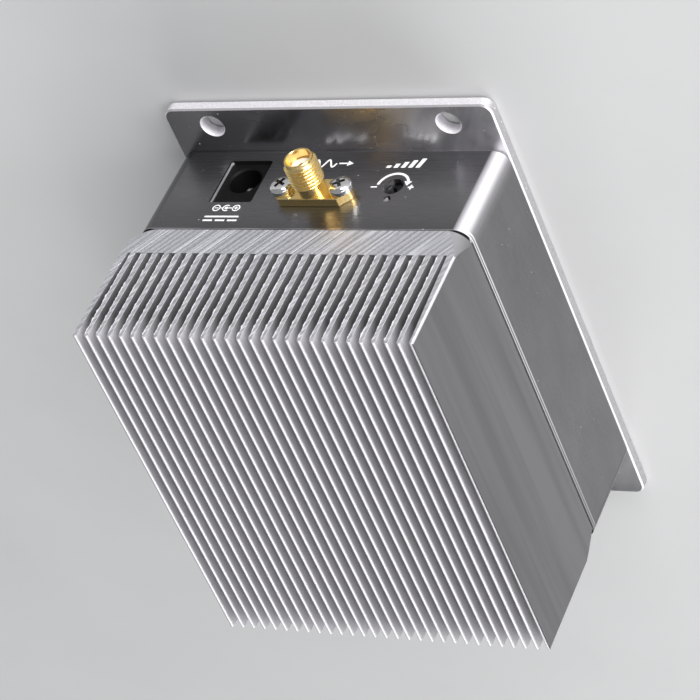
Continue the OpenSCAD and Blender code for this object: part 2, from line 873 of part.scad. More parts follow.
module power_transistor_ceramic()
    color("ivory")
        on_floor(0, transistor_y) {
            translate([0, 0, transistor_flange[2]])
                box([transistor_frame[0], transistor_frame[1], lead_h - transistor_flange[2]]);
            translate([0, 0, lead_h + lead_t])
                box(transistor_cap);
        }

module power_transistor_leads()
    color("gold")
        on_floor(0, transistor_y)
            for (side = [-1, 1])
                translate([0, side * (lead_out + lead_in) / 2, lead_h])
                    box([lead_w, lead_out - lead_in, lead_t]);

module power_transistor_screws()
    color("gainsboro")
        for (side = [-1, 1])
            on_floor(side * transistor_slot_l / 2, transistor_y)
                translate([0, 0, transistor_flange[2]])
                    rotate([0, 0, 25 * side])
                        pan_screw(m25_d, m25_head_d, m25_head_h, transistor_flange[2] + floor_bite);

// Moulded packages on the board: preamplifier, driver, regulator and polarity diode
module chip_packages()
    color("#282828") {
        on_board(0, preamp_y)
            box(preamp_size);
        on_board(0, driver_y)
            box(package_size);
        on_board(regulator_x, regulator_y)
            box(package_size);
        on_board(diode_x, diode_y)
            box(diode_size);
    }

// Legs on both sides of a package
module package_legs(l, pitch)
    for (side = [-1, 1], i = [0 : leg_count - 1])
        translate([(i - (leg_count - 1) / 2) * pitch, side * (l + leg_size[1]) / 2, 0])
            box(leg_size);

module chip_leads()
    color("silver") {
        on_board(0, preamp_y)
            package_legs(preamp_size[1], preamp_leg_pitch);
        on_board(0, driver_y)
            package_legs(package_size[1], package_leg_pitch);
        on_board(regulator_x, regulator_y)
            package_legs(package_size[1], package_leg_pitch);
        on_board(diode_x, diode_y)
            for (side = [-1, 1])
                translate([side * (diode_size[0] + diode_tab[0]) / 2, 0, 0])
                    box(diode_tab);
    }

// Cylinder along the core, longer than the core and its tubes
module transformer_bore(d)
    along_y(d, -transformer_core[1], transformer_core[1], transformer_core[2] / 2);

module output_transformer_core()
    color("#383838")
        on_board(0, transformer_y)
            difference() {
                box(transformer_core);
                for (side = [-1, 1])
                    translate([side * transformer_pitch / 2, 0, 0])
                        transformer_bore(transformer_tube_d + 2 * fit);
            }

// Copper tubes through the core, joined by a plate at one end
module output_transformer_tubes()
    color("#c87840")
        on_board(0, transformer_y)
            difference() {
                union() {
                    for (side = [-1, 1])
                        translate([side * transformer_pitch / 2, 0, 0])
                            along_y(transformer_tube_d, -transformer_core[1] / 2 - transformer_tube_proud,
                                transformer_core[1] / 2 + transformer_end[1], transformer_core[2] / 2);
                    translate([0, (transformer_core[1] + transformer_end[1]) / 2, 0])
                        box(transformer_end);
                }
                for (side = [-1, 1])
                    translate([side * transformer_pitch / 2, 0, 0])
                        transformer_bore(transformer_tube_d - 2 * transformer_tube_t);
            }

module supply_choke()
    color("#303030")
        on_board(supply_x, choke_y)
            box(choke_size);

module supply_capacitors()
    color("lightgray")
        for (y = can_y)
            on_board(supply_x, y)
                hole(can_d, can_base_h, can_base_h + can_h);

module capacitor_bases()
    color("#181818")
        for (y = can_y)
            on_board(supply_x, y)
                box([can_base_w, can_base_w, can_base_h]);

// Small chips in two rows beside the signal path
module chip_components()
    color("tan")
        for (side = [-1, 1], i = [0 : chip_count - 1])
            on_board(side * chip_row_x, preamp_y - chip_lead_in + i * chip_pitch)
                rotate([0, 0, 90 * (i % 2)])
                    box(chip_size);

mounting_plate();
plate_screws();
housing();
thermal_pad();
heatsink();
heatsink_screws();
input_socket_body();
input_socket_insulator();
input_socket_contact();
input_socket_screws();
output_socket_body();
output_socket_insulator();
output_socket_contact();
output_socket_screws();
power_jack_body();
power_jack_pin();
power_jack_leaf();
power_jack_tags();
gain_trimmer_body();
gain_rotor();
gain_trimmer_pins();
circuit_board();
board_spacers();
board_screws();
solder_joints();
power_transistor_flange();
power_transistor_ceramic();
power_transistor_leads();
power_transistor_screws();
chip_packages();
chip_leads();
output_transformer_core();
output_transformer_tubes();
supply_choke();
supply_capacitors();
capacitor_bases();
chip_components();
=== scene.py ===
"""Looks of the RF amplifier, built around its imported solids."""

import json
import math
import random

import bmesh
import bpy
from mathutils import Matrix, Vector


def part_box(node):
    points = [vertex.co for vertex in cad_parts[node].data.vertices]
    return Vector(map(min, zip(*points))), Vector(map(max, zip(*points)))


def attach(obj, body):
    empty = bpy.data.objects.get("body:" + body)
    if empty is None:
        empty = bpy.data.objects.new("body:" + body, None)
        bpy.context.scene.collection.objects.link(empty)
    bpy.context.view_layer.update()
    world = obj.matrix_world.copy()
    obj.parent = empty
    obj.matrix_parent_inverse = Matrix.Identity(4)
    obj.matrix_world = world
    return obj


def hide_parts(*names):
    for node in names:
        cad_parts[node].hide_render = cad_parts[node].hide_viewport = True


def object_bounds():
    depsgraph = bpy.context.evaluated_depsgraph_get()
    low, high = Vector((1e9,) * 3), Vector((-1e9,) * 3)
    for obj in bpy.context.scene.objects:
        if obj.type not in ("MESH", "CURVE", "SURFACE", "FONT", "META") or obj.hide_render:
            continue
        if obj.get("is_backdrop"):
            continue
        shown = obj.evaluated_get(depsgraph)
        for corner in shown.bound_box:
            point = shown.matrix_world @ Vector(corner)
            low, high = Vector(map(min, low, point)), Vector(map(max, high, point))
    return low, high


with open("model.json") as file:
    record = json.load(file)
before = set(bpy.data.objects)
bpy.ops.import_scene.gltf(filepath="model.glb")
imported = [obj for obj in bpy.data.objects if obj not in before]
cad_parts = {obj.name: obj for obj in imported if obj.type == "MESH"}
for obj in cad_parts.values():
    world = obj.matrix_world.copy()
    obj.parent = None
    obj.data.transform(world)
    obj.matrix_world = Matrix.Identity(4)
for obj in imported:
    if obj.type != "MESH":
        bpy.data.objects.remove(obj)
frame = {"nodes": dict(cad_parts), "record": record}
cad_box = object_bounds()

MM = 0.001
nodes = frame["nodes"]
mounts = {mount["name"]: mount for mount in frame["record"]["mounts"]}
HEATSINK_BASE = 6.2
panel_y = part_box("housing")[0].y / MM
far_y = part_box("housing")[1].y / MM


# Helpers for materials

class Shader:
    """One material, with short ways to add and link its nodes."""

    def __init__(self, name, metallic=0.0):
        self.material = bpy.data.materials.new(name)
        self.material.use_nodes = True
        self.tree = self.material.node_tree
        self.bsdf = self.tree.nodes["Principled BSDF"]
        self.bsdf.inputs["Metallic"].default_value = metallic
        self.place = self.node("ShaderNodeTexCoord")

    def node(self, kind, inputs=None, **settings):
        made = self.tree.nodes.new(kind)
        for key, value in settings.items():
            setattr(made, key, value)
        for key, value in (inputs or {}).items():
            self.feed(made.inputs[key], value)
        return made

    def feed(self, socket, value):
        if isinstance(value, bpy.types.NodeSocket):
            self.tree.links.new(value, socket)
        else:
            socket.default_value = value

    def set(self, **values):
        """Sets or links sockets of the shader; an underscore stands for a space."""
        for key, value in values.items():
            self.feed(self.bsdf.inputs[key.replace("_", " ")], value)
        return self

    def grid(self, per_mm, turn=(0, 0, 0)):
        """Object coordinates, stretched to that many cycles per millimetre along each axis."""
        turned = self.node("ShaderNodeMapping", {
            "Vector": self.place.outputs["Object"],
            "Rotation": [math.radians(angle) for angle in turn],
        })
        return self.node("ShaderNodeMapping", {
            "Vector": turned.outputs["Vector"],
            "Scale": [count / MM for count in per_mm],
        }).outputs["Vector"]

    def noise(self, vector, detail=3.0, roughness=0.5, distortion=0.0):
        return self.node("ShaderNodeTexNoise", {
            "Vector": vector, "Scale": 1.0, "Detail": detail,
            "Roughness": roughness, "Distortion": distortion,
        }).outputs["Fac"]

    def specks(self, vector, size):
        """1 inside scattered dots, 0 elsewhere; size is a share of the distance between them."""
        cells = self.node("ShaderNodeTexVoronoi", {"Vector": vector, "Scale": 1.0})
        return self.span(cells.outputs["Distance"], size, 0.6 * size, 0.0, 1.0)

    def ripples(self, vector, distortion):
        """Uneven bands across the first axis, about three to each unit."""
        return self.node("ShaderNodeTexWave", {
            "Vector": vector, "Scale": 1.0, "Distortion": distortion, "Detail": 3.0, "Detail Roughness": 0.6,
        }).outputs["Fac"]

    def span(self, value, from_low, from_high, low, high):
        """Maps a value from one span to another, with its ends held."""
        return self.node("ShaderNodeMapRange", {
            "Value": value, "From Min": from_low, "From Max": from_high, "To Min": low, "To Max": high,
        }).outputs["Result"]

    def band(self, value, low, high, soft):
        """1 where a value lies between low and high, with soft ends."""
        rise = self.span(value, low - soft, low, 0.0, 1.0)
        fall = self.span(value, high, high + soft, 1.0, 0.0)
        return self.math("MULTIPLY", rise, fall)

    def math(self, operation, first, second=0.0):
        made = self.node("ShaderNodeMath", operation=operation)
        self.feed(made.inputs[0], first)
        self.feed(made.inputs[1], second)
        return made.outputs["Value"]

    def most(self, first, *others):
        """Highest of several masks."""
        for other in others:
            first = self.math("MAXIMUM", first, other)
        return first

    def mix(self, share, first, second):
        """Colour between first and second."""
        made = self.node("ShaderNodeMix", data_type="RGBA")
        self.feed(made.inputs["Factor"], share)
        for socket, value in ((made.inputs[6], first), (made.inputs[7], second)):
            self.feed(socket, value)
        return made.outputs[2]

    def blend(self, share, first, second):
        """Number between first and second."""
        made = self.node("ShaderNodeMix", data_type="FLOAT")
        self.feed(made.inputs["Factor"], share)
        for socket, value in ((made.inputs[2], first), (made.inputs[3], second)):
            self.feed(socket, value)
        return made.outputs[0]

    def part(self, output, axis):
        """One axis of the place ("Object", in metres) or of the direction ("Normal") of the surface."""
        return self.node("ShaderNodeSeparateXYZ", {"Vector": self.place.outputs[output]}).outputs[axis]

    def facing(self, axis, low, high):
        """1 where the surface faces along that axis either way, 0 where it runs along it."""
        return self.span(self.math("ABSOLUTE", self.part("Normal", axis)), low, high, 0.0, 1.0)

    def corner(self, low, high):
        """1 on upright corners, which face between X and Y."""
        return self.math("MULTIPLY", self.facing("X", low, high), self.facing("Y", low, high))

    def within(self, node, depth):
        """1 on surfaces that lie deeper than that many millimetres inside a node's outline from above."""
        low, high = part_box(node)
        masks = []
        for axis in range(2):
            middle, half = (low[axis] + high[axis]) / 2, (high[axis] - low[axis]) / 2
            away = self.math("ABSOLUTE", self.math("SUBTRACT", self.part("Object", axis), middle))
            masks.append(self.span(away, half - depth * MM, half - 1.2 * depth * MM, 0.0, 1.0))
        return self.math("MULTIPLY", masks[0], masks[1])

    def flank(self, node, depth):
        """1 on surfaces near a node's two X sides that face out of them."""
        low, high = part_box(node)
        middle, half = (low.x + high.x) / 2, (high.x - low.x) / 2
        away = self.math("SUBTRACT", self.part("Object", "X"), middle)
        near = self.span(self.math("ABSOLUTE", away), half - 1.1 * depth * MM, half - depth * MM, 0.0, 1.0)
        out = self.math("MULTIPLY", away, self.part("Normal", "X"))
        out = self.span(out, 0.15 * half, 0.3 * half, 0.0, 1.0)
        return self.math("MULTIPLY", near, out)

    def dust(self, *per_mm):
        """1 on scattered specks, in layers of that many cells per millimetre."""
        masks = [self.specks(self.grid((count, count, count)), 0.048) for count in per_mm]
        return self.most(*masks)

    def bump(self, *layers):
        """Stacks (height, depth in millimetres) layers into the shader's normal."""
        normal = None
        for height, depth in layers:
            made = self.node("ShaderNodeBump", {"Height": height, "Strength": 1.0, "Distance": depth * MM})
            if normal is not None:
                self.feed(made.inputs["Normal"], normal)
            normal = made.outputs["Normal"]
        return self.set(Normal=normal)

    def brushed(self, axis, amount, rotation=0.0):
        """Stretches reflections round an axis, or along it with a quarter turn."""
        around = self.node("ShaderNodeTangent", direction_type="RADIAL", axis=axis)
        return self.set(Anisotropic=amount, Anisotropic_Rotation=rotation, Tangent=around.outputs["Tangent"])


def grey(level, warmth=0.0):
    return (level * (1 + warmth), level, level * (1 - warmth), 1.0)


def alu(level, cool=0.0):
    """Bare aluminium, a little violet, or bluer by a share."""
    return ((1 - cool) * level, 0.98 * level, (1.02 + cool) * level, 1.0)


# Materials that show from outside

def machined_metal():
    """Housing: fine marks round the walls, a ground corner with a painted highlight, painted shade across the
    panel and sides and in the adjuster's hole, painted highlights on rims and opening walls, a painted shadow
    along the seam, and dust.
    """
    s = Shader("machined_metal")
    low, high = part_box("housing")
    rotor_low, rotor_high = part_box("gain_rotor")
    lines = s.noise(s.grid((0.03, 0.03, 9.0)), detail=4.0, roughness=0.65)
    clouds = s.noise(s.grid((0.08, 0.08, 0.16)), detail=3.0)
    streaks = s.noise(s.grid((1.6, 1.6, 0.02)), detail=3.0, roughness=0.6)
    across = s.span(s.part("Object", "X"), high.x, low.x, 0.0, 1.0)
    along = s.part("Object", "Y")
    outward = s.math("ABSOLUTE", s.part("Object", "X"))
    below = s.math("SUBTRACT", high.z, s.part("Object", "Z"))
    on_side = s.facing("X", 0.9, 1.0)
    towards_side = s.facing("X", 0.6, 1.0)

    # The ground corner lies between the adjuster's panel and the side next to it. It carries a painted
    # highlight that runs onto the side's front end and fades towards the side; the other upright corners get
    # painted shade.
    polished_and_highlit = s.math("MULTIPLY", s.span(across, 0.4, 0.6, 0.0, 1.0), s.span(along, -MM, MM, 1.0, 0.0))
    side_highlight_end = s.math("MULTIPLY", s.span(along, low.y + 2.6 * MM, low.y + 4.6 * MM, 1.0, 0.0), on_side)
    arc = s.math("MULTIPLY", s.facing("X", 0.04, 0.14), s.facing("Y", 0.02, 0.1))
    corner = s.most(arc, s.math("MULTIPLY", side_highlight_end, polished_and_highlit))
    inside = s.math("SUBTRACT", s.within("housing", 0.3), arc)

    # Painted highlight lines under the top edge and above the plate, and a painted shadow along the seam,
    # which is deeper at the corners.
    rim_highlight = s.most(s.band(below, 0.28 * MM, 0.6 * MM, 0.03 * MM), s.band(below, 1.0 * MM, 1.25 * MM, 0.1 * MM))
    rim_highlight = s.most(rim_highlight, s.span(below, 0.08 * MM, 0.12 * MM, 1.0, 0.0))
    rim_highlight = s.math("MULTIPLY", rim_highlight, s.facing("X", 0.75, 0.9))
    reach = s.most(s.corner(0.1, 0.3), s.span(outward, high.x - 5.5 * MM, high.x - 3.0 * MM, 0.0, 1.0))
    reach = s.math("MULTIPLY", reach, s.facing("Y", 0.1, 0.3))
    # Painted shadow along the seam, wider where the heatsink's corners draw back, and on faces that face
    # along Z.
    seam_shadow = s.math("SUBTRACT", below, s.math("MULTIPLY", reach, 0.32 * MM))
    seam_shadow = s.most(s.span(seam_shadow, 0.0, 0.03 * MM, 1.0, 0.0), s.facing("Z", 0.9, 0.95))
    # Painted highlight on a thin line above the plate, and a broken painted highlight along the panel's top
    # edge.
    foot_highlight = s.span(s.part("Object", "Z"), low.z + 0.2 * MM, low.z + 0.3 * MM, 1.0, 0.0)
    lip_highlight = s.math("MULTIPLY", s.band(below, 0.2 * MM, 0.5 * MM, 0.06 * MM), s.facing("Y", 0.6, 0.8))
    lip_highlight = s.math("MULTIPLY", lip_highlight, s.span(clouds, 0.35, 0.65, 0.3, 1.0))

    # The walls of the openings are milled, rougher and paler, their paleness partly a painted highlight; the
    # wall of the adjuster's hole gets painted shade, darker than those of the other openings.
    adjuster_hole_shade = s.math(
        "MULTIPLY",
        s.band(s.part("Object", "X"), rotor_low.x, rotor_high.x, 0.3 * MM),
        s.band(s.part("Object", "Z"), rotor_low.z, rotor_high.z, 0.3 * MM),
    )
    dust = s.dust(0.33, 1.1)

    tone = s.mix(clouds, alu(0.25), alu(0.34))
    tone = s.mix(s.span(lines, 0.3, 0.7, 0.0, 0.2), tone, alu(0.42))
    # Painted shade: darker towards the +X side and towards the top edge, and the side walls get a darker tone
    # than the panel.
    tone = s.mix(s.span(across, 0.0, 0.45, 0.4, 0.0), tone, alu(0.12))
    tone = s.mix(s.span(below, 0.0, 11.0 * MM, 0.7, 0.0), tone, alu(0.12))
    tone = s.mix(on_side, tone, s.mix(clouds, alu(0.2), alu(0.29)))
    # Painted highlight: the ground corner is paler where it faces the panel and fades where it turns to the
    # side.
    ground = s.mix(towards_side, alu(0.82), alu(0.42))
    ground = s.mix(s.span(streaks, 0.35, 0.65, 0.0, 0.2), ground, alu(0.3))
    tone = s.mix(corner, tone, s.mix(polished_and_highlit, alu(0.16), ground))
    tone = s.mix(foot_highlight, tone, alu(0.5))
    tone = s.mix(lip_highlight, tone, alu(0.75))
    # Painted highlight lines, paler at the front.
    tone = s.mix(rim_highlight, tone, s.mix(s.span(along, low.y, high.y, 0.0, 1.0), alu(0.9), alu(0.4)))
    tone = s.mix(inside, tone, s.mix(adjuster_hole_shade, s.mix(lines, alu(0.7), alu(0.9)), alu(0.13)))
    tone = s.mix(seam_shadow, tone, grey(0.015))
    s.set(Base_Color=s.mix(dust, tone, grey(0.9)))
    s.set(Metallic=s.span(s.most(rim_highlight, inside, seam_shadow, dust), 0.0, 1.0, 1.0, 0.6))
    ground_rough = s.blend(polished_and_highlit, 0.3, s.blend(towards_side, 0.56, 0.7))
    rough = s.blend(corner, s.span(lines, 0.25, 0.75, 0.24, 0.34), ground_rough)
    rough = s.blend(s.most(rim_highlight, inside), rough, 0.5)
    s.set(Roughness=s.blend(s.most(dust, seam_shadow), rough, 0.85))
    s.brushed("Z", 0.75, rotation=0.25)
    return s.bump((lines, 0.0025), (dust, 0.03)).material


def sheet_metal():
    """Mounting plate: rolled faces with painted shade on the +X side and at the far end, a hazy film by the
    adjuster that also paints a highlight there, and milled edges and holes with painted highlight and painted
    shade by the way they face.
    """
    s = Shader("sheet_metal")
    low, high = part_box("mounting_plate")
    roll = s.noise(s.grid((0.05, 2.5, 0.05)), detail=4.0, roughness=0.6)
    mill = s.noise(s.grid((0.12, 0.12, 5.0)), detail=3.0)
    grain = s.span(s.noise(s.grid((3.5, 3.5, 3.5)), detail=3.0, roughness=0.6), 0.3, 0.7, 0.0, 1.0)
    clouds = s.noise(s.grid((0.07, 0.1, 0.1)), detail=3.0, distortion=0.4)
    wiped = s.noise(s.grid((0.25, 0.1, 0.1), (0, 0, 30)), detail=4.0, roughness=0.6, distortion=0.6)
    across = s.span(s.part("Object", "X"), high.x, low.x, 0.0, 1.0)
    # A hazy film, paler and less metallic than bare metal, that also serves as a painted highlight.
    haze_and_highlight = s.math("MULTIPLY", s.span(across, 0.5, 0.85, 0.0, 1.0), s.span(wiped, 0.3, 0.7, 0.4, 1.0))
    edge = s.span(s.facing("Z", 0.0, 1.0), 0.9, 0.8, 0.0, 1.0)
    bevel = s.math("MULTIPLY", edge, s.facing("Z", 0.4, 0.5))
    hole = s.math("MULTIPLY", edge, s.within("mounting_plate", 1.0))
    dust = s.dust(0.3, 0.9)

    tone = s.mix(clouds, alu(0.42), alu(0.58))
    # Painted shade: darker towards the +X side.
    tone = s.mix(s.span(across, 0.0, 0.3, 0.7, 0.0), tone, alu(0.15))
    tone = s.mix(haze_and_highlight, tone, alu(0.72))
    # Painted shade: darker towards the far end.
    tone = s.mix(s.span(s.part("Object", "Y"), 0.0, high.y, 0.0, 0.8), tone, alu(0.14))
    # Painted light on the milled edges: the long sides get painted shade and the short ends a painted
    # highlight; the chamfers along the long sides and the hole walls get painted highlights.
    shaded_long_side = s.mix(grain, alu(0.3), alu(0.5))
    lit_short_side = s.mix(grain, alu(0.62), alu(0.88))
    tone = s.mix(edge, tone, s.mix(s.facing("X", 0.5, 0.9), lit_short_side, shaded_long_side))
    tone = s.mix(bevel, tone, s.mix(s.facing("X", 0.3, 0.6), alu(0.42), alu(0.95)))
    tone = s.mix(hole, tone, s.mix(grain, alu(0.8), alu(0.98)))
    s.set(Base_Color=s.mix(dust, tone, grey(0.9)))
    s.set(Metallic=s.blend(edge, s.span(haze_and_highlight, 0.0, 1.0, 1.0, 0.86), 0.35))
    face = s.math("ADD", s.span(clouds, 0.3, 0.7, 0.2, 0.3), s.math("MULTIPLY", haze_and_highlight, 0.1))
    rough = s.blend(edge, face, s.span(grain, 0.0, 1.0, 0.45, 0.6))
    s.set(Roughness=s.blend(dust, rough, 0.8))
    return s.bump((roll, 0.002), (mill, 0.01), (dust, 0.03)).material


def extruded_metal():
    """Heatsink: etched fins with painted shade down their walls, ground flanks with a painted highlight where
    the corners turn to the ends, a painted highlight on the upright edges, and saw marks on both ends.
    """
    s = Shader("extruded_metal")
    low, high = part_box("heatsink")
    drawn = s.noise(s.grid((5.0, 0.02, 5.0)), detail=3.0, roughness=0.6)
    streaks = s.noise(s.grid((0.3, 0.012, 0.3)), detail=2.0)
    grain = s.noise(s.grid((9.0, 9.0, 9.0)), detail=2.0)
    grit = s.noise(s.grid((2.2, 2.2, 2.2)), detail=4.0, roughness=0.7)
    saw_turn = (0, -35, 0)
    coarse = s.noise(s.grid((0.7, 0.7, 0.01), saw_turn), detail=0.0)
    fine = s.noise(s.grid((2.4, 2.4, 0.025), saw_turn), detail=4.0, roughness=0.65)
    teeth = s.ripples(s.grid((0.27, 0.27, 0.006), saw_turn), distortion=4.0)
    scratch = s.band(coarse, 0.62, 0.63, 0.02)
    sawn = s.facing("Y", 0.975, 0.985)
    corner = s.corner(0.05, 0.2)
    turn_finish_and_highlight = s.facing("Y", 0.25, 0.95)
    plain = s.span(s.part("Object", "X"), low.x + 5.0 * MM, low.x + 9.0 * MM, 1.0, 0.0)
    ground = s.most(s.flank("heatsink", 0.5), corner)
    # Painted highlight on the small rounding of the upright edges.
    edge_highlight = s.math("MULTIPLY", corner, s.span(s.facing("Z", 0.0, 1.0), 0.04, 0.1, 1.0, 0.0))

    height = s.span(s.part("Object", "Z"), low.z + HEATSINK_BASE * MM, high.z, 0.0, 1.0)
    fin = s.mix(s.span(grain, 0.3, 0.7, 0.0, 1.0), alu(0.6), alu(0.8))
    # Painted shade: the fin walls are dark up to near their tips, which are paler.
    shade = s.mix(s.span(height, 0.0, 0.75, 0.0, 1.0), alu(0.3), alu(0.2))
    fin = s.mix(s.span(height, 0.72, 0.94, 1.0, 0.0), fin, shade)
    smear = s.mix(s.span(streaks, 0.35, 0.65, 0.0, 1.0), alu(0.2), alu(0.27))
    smear = s.mix(s.span(drawn, 0.3, 0.7, 0.0, 0.25), smear, alu(0.33))
    # Painted highlight where the ground corners turn towards the ends, with a rougher, less metallic finish
    # there.
    smear = s.mix(turn_finish_and_highlight, smear, alu(0.55))
    cut = s.mix(s.span(fine, 0.35, 0.65, 0.0, 1.0), alu(0.44, 0.02), alu(0.64, 0.02))
    cut = s.mix(s.span(teeth, 0.55, 0.95, 0.0, 0.5), cut, alu(0.85, 0.02))
    cut = s.mix(s.span(grit, 0.5, 0.75, 0.0, 0.7), cut, alu(0.24, 0.02))
    cut = s.mix(scratch, cut, alu(0.85, 0.02))
    cut = s.mix(s.math("MULTIPLY", plain, 0.7), cut, alu(0.55, 0.02))
    tone = s.mix(sawn, s.mix(ground, fin, smear), cut)
    s.set(Base_Color=s.mix(edge_highlight, tone, alu(0.88)))
    s.set(Metallic=s.blend(turn_finish_and_highlight, s.blend(ground, 0.5, 1.0), 0.85))
    skin_rough = s.blend(ground, s.span(grain, 0.3, 0.7, 0.4, 0.55), s.span(drawn, 0.2, 0.8, 0.28, 0.4))
    s.set(Roughness=s.blend(turn_finish_and_highlight, skin_rough, s.span(grain, 0.3, 0.7, 0.42, 0.6)))
    marks = s.math("MULTIPLY", sawn, s.math("ADD", s.math("MAXIMUM", scratch, teeth), fine))
    return s.bump((drawn, 0.004), (marks, 0.05), (grit, 0.015), (grain, 0.006)).material


def burr_metal():
    """Torn edges that the saw leaves on the fins."""
    s = Shader("burr_metal", metallic=0.6)
    grain = s.noise(s.grid((6.0, 6.0, 6.0)), detail=3.0)
    s.set(Base_Color=s.mix(grain, alu(0.8), alu(0.98)), Roughness=s.span(grain, 0.3, 0.7, 0.3, 0.55))
    return s.bump((grain, 0.02)).material


def plated_gold():
    s = Shader("plated_gold", metallic=1.0)
    stain = s.noise(s.grid((0.35, 0.35, 0.35)), detail=3.0)
    turned = s.noise(s.grid((0.4, 9.0, 0.4)), detail=3.0)
    grain = s.noise(s.grid((5.0, 5.0, 5.0)), detail=2.0)
    s.set(Base_Color=s.mix(stain, (0.94, 0.65, 0.22, 1.0), (1.0, 0.8, 0.4, 1.0)))
    s.set(Roughness=s.span(grain, 0.3, 0.7, 0.17, 0.28))
    return s.bump((turned, 0.003), (grain, 0.002)).material


def plated_nickel():
    s = Shader("plated_nickel", metallic=1.0)
    grain = s.noise(s.grid((4.0, 4.0, 4.0)), detail=3.0)
    stain = s.noise(s.grid((0.6, 0.6, 0.6)), detail=2.0)
    s.set(Base_Color=s.mix(stain, grey(0.76, 0.01), grey(0.92, 0.01)))
    s.set(Roughness=s.span(grain, 0.3, 0.7, 0.1, 0.2))
    return s.bump((grain, 0.003)).material


def white_polymer():
    s = Shader("white_polymer")
    swirl = s.noise(s.grid((0.5, 3.0, 0.5)), detail=3.0)
    s.set(Base_Color=s.mix(swirl, (0.86, 0.78, 0.7, 1.0), (0.93, 0.9, 0.86, 1.0)))
    s.set(Roughness=s.span(swirl, 0.3, 0.7, 0.35, 0.5), Subsurface_Weight=0.15, Subsurface_Scale=0.4 * MM)
    return s.bump((swirl, 0.01)).material


def black_moulding():
    s = Shader("black_moulding")
    spark = s.noise(s.grid((7.0, 7.0, 7.0)), detail=2.0)
    flow = s.noise(s.grid((0.2, 0.2, 0.2)), detail=3.0)
    s.set(Base_Color=s.mix(flow, grey(0.004), grey(0.008)), Specular_IOR_Level=0.1)
    s.set(Roughness=s.span(spark, 0.3, 0.7, 0.45, 0.6))
    return s.bump((spark, 0.012)).material


def rotor_metal():
    """Dark, smooth and shiny face of the adjuster; the bottom of its slot carries a painted shadow and its
    walls and the rotor's side a painted highlight.
    """
    s = Shader("rotor_metal")
    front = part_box("gain_rotor")[0].y
    turned = s.noise(s.grid((2.0, 2.0, 2.0)), detail=3.0)
    slot_shadow = s.span(s.part("Object", "Y"), front + 0.2 * MM, front + 0.3 * MM, 0.0, 1.0)
    face = s.mix(slot_shadow, s.mix(turned, grey(0.05), grey(0.11)), grey(0.008))
    wall_highlight = s.facing("Y", 0.3, 0.6)
    s.set(Base_Color=s.mix(wall_highlight, alu(0.95), face))
    s.set(Metallic=s.blend(wall_highlight, 0.2, 1.0))
    s.set(Roughness=s.span(turned, 0.3, 0.7, 0.2, 0.3))
    return s.bump((turned, 0.006)).material


def white_ink():
    s = Shader("white_ink")
    mesh = s.noise(s.grid((7.0, 7.0, 7.0)), detail=3.0)
    s.set(Base_Color=s.mix(mesh, grey(0.9), grey(0.98)))
    s.set(Roughness=s.span(mesh, 0.3, 0.7, 0.5, 0.7))
    return s.bump((mesh, 0.006)).material


# Materials of the inner pieces

def mottled(name, dark, light, rough, metallic=0.0, per_mm=2.0, depth=0.01):
    """Surface whose colour, gloss and height follow one fine grain."""
    s = Shader(name, metallic=metallic)
    grain = s.noise(s.grid((per_mm, per_mm, per_mm)), detail=4.0, roughness=0.6)
    s.set(Base_Color=s.mix(s.span(grain, 0.3, 0.7, 0.0, 1.0), dark, light))
    s.set(Roughness=s.span(grain, 0.3, 0.7, rough[0], rough[1]))
    return s.bump((grain, depth)).material


def board_laminate():
    """Green mask with copper runs showing through as paler bands."""
    s = Shader("board_laminate")
    runs = s.node("ShaderNodeTexBrick", {
        "Vector": s.grid((0.16, 0.16, 0.16)), "Scale": 1.0, "Mortar Size": 0.03, "Row Height": 0.4,
        "Color1": (0.02, 0.17, 0.07, 1.0), "Color2": (0.025, 0.2, 0.085, 1.0),
        "Mortar": (0.07, 0.32, 0.14, 1.0),
    })
    weave = s.noise(s.grid((4.0, 4.0, 4.0)), detail=2.0)
    s.set(Base_Color=runs.outputs["Color"], Roughness=s.span(weave, 0.3, 0.7, 0.25, 0.4))
    return s.bump((runs.outputs["Fac"], 0.03), (weave, 0.006)).material


